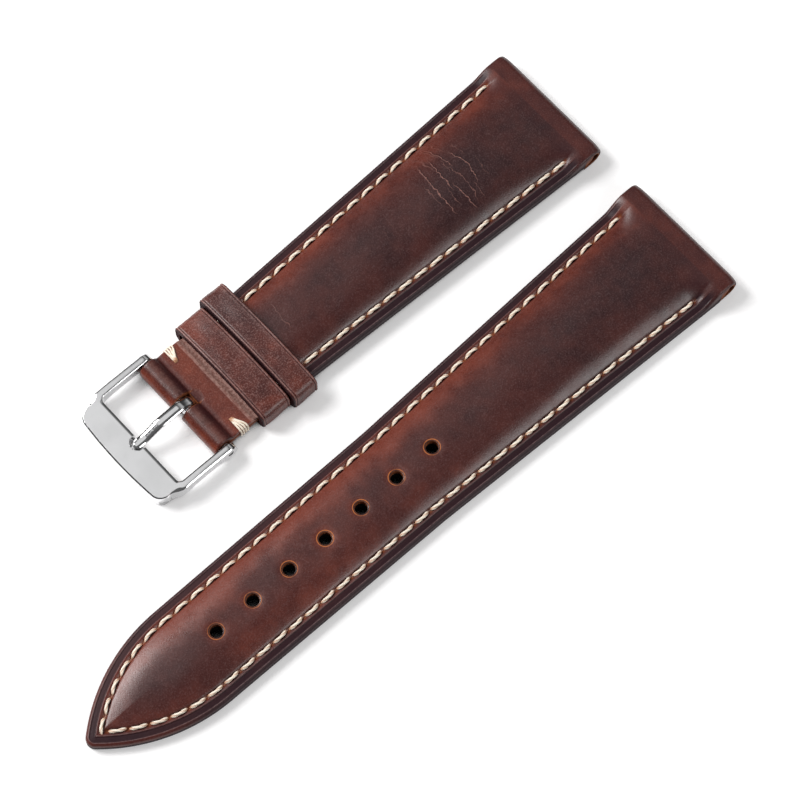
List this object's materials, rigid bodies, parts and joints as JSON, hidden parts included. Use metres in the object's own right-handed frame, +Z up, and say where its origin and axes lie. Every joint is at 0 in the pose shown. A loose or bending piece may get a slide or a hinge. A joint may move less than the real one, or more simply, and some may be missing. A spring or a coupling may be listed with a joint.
{
  "type": "leather watch strap",
  "caption": "Padded two-piece leather watch strap with contrast stitching, a steel pin buckle on a spring bar, a sewn keeper and a sliding keeper.",
  "frame": {"origin": "centre of the two pieces' shared outline, on the surface they lie on", "axes": "+X along the strap towards the lug ends, +Y from the long piece to the short piece, +Z up, away from the surface"},
  "size_m": [0.1186, 0.0516, 0.0054],
  "materials": {
    "oxblood_leather": "waxed pull-up leather, semi-gloss, dark edges",
    "lining_leather": "smooth lining leather, matt",
    "padding": "unfinished split leather filler",
    "thread": "waxed off-white two-ply thread",
    "polished_steel": "polished stainless steel",
    "spring_bar_steel": "turned stainless steel"
  },
  "bodies": {
    "short_strap": {"short_top_leather": "oxblood_leather", "short_padding": "padding", "short_lining": "lining_leather", "short_stitching_left": "thread", "short_stitching_right": "thread", "tail_fold": "oxblood_leather", "bar_tack_left": "thread", "bar_tack_right": "thread", "fixed_keeper": "oxblood_leather"},
    "free_keeper": {"free_keeper": "oxblood_leather"},
    "buckle_frame": {"buckle_frame": "polished_steel"},
    "buckle_tongue": {"buckle_tongue": "polished_steel"},
    "bar_tube": {"bar_tube": "spring_bar_steel", "bar_spring": "spring_bar_steel"},
    "bar_tip_left": {"bar_tip_left": "spring_bar_steel"},
    "bar_tip_right": {"bar_tip_right": "spring_bar_steel"},
    "long_strap": {"long_top_leather": "oxblood_leather", "long_padding": "padding", "long_lining": "lining_leather", "long_stitching": "thread"}
  },
  "joints": [
    {"name": "free_keeper_slide", "type": "slide", "parent": "short_strap", "child": "free_keeper", "axis": [1, 0, 0], "range_m": [0, 0.016]},
    {"name": "buckle_frame_turn", "type": "hinge", "parent": "short_strap", "child": "buckle_frame", "pos_m": [-0.0151, 0.01488, 0.0018], "axis": [0, 1, 0], "range_deg": [-45, 50]},
    {"name": "buckle_tongue_turn", "type": "hinge", "parent": "buckle_frame", "child": "buckle_tongue", "pos_m": [-0.0151, 0.01488, 0.0018], "axis": [0, 1, 0], "range_deg": [0, 60]},
    {"name": "bar_tube_spin", "type": "hinge", "parent": "short_strap", "child": "bar_tube", "pos_m": [-0.0151, 0.01488, 0.0018], "axis": [0, 1, 0], "continuous": true},
    {"name": "bar_tip_left_press", "type": "slide", "parent": "bar_tube", "child": "bar_tip_left", "axis": [0, -1, 0], "range_m": [0, 0.00115], "stiffness_N_per_m": 300, "springref_m": -0.001, "deforming": ["bar_spring"]},
    {"name": "bar_tip_right_press", "type": "slide", "parent": "bar_tube", "child": "bar_tip_right", "axis": [0, 1, 0], "range_m": [0, 0.00115], "stiffness_N_per_m": 300, "springref_m": -0.001, "deforming": ["bar_spring"]},
    {"name": "long_piece_lift", "type": "slide", "parent": "short_strap", "child": "long_strap", "axis": [0, 0, 1], "range_m": [0, 0.05]}
  ]
}
